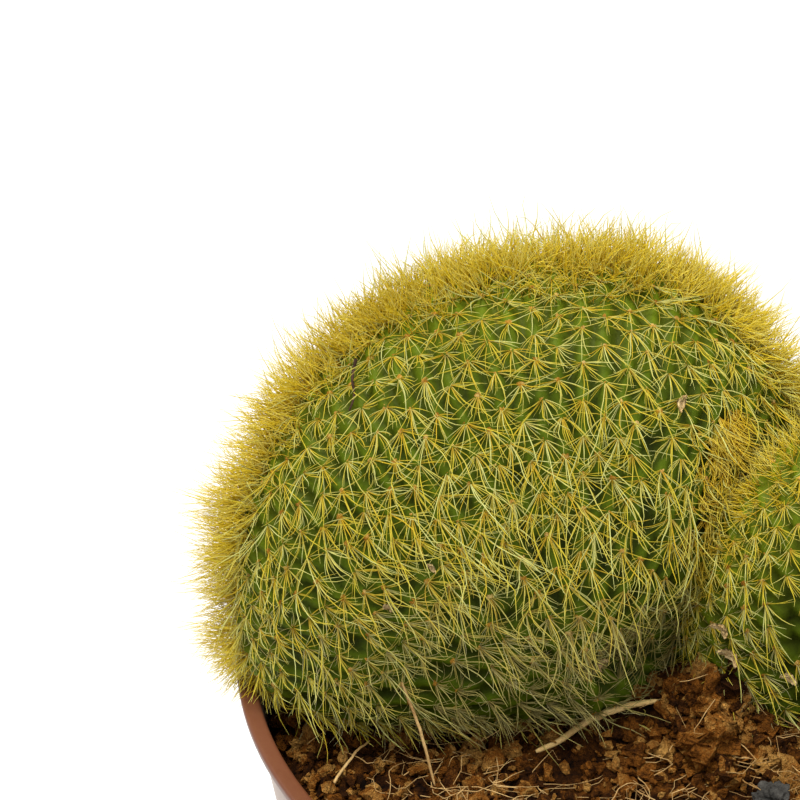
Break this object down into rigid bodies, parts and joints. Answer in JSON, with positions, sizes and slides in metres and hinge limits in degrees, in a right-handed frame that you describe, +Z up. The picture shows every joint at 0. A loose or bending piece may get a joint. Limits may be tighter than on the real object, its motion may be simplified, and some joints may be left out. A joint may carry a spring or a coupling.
{
  "type": "potted crested cactus",
  "caption": "Crested golden ball cactus with fan-shaped green lobes and dense yellow spines, growing in crumbly soil in a round tapered plastic nursery pot.",
  "frame": {"origin": "centre of the pot's flat base, on the surface that it stands on", "axes": "+Z up along the pot's axis, -Y towards the front that the picture shows, +X to the right along the crest"},
  "size_m": [0.1832, 0.17, 0.2092],
  "materials": {
    "pot_plastic": "satin",
    "soil": "matte",
    "cactus": "satin",
    "fibre": "matte"
  },
  "bodies": {
    "root": {"pot": "pot_plastic", "soil": "soil", "cactus": "cactus", "straw": "fibre", "rootlet_left": "fibre", "rootlet_middle": "fibre", "rootlet_right": "fibre"}
  },
  "joints": []
}
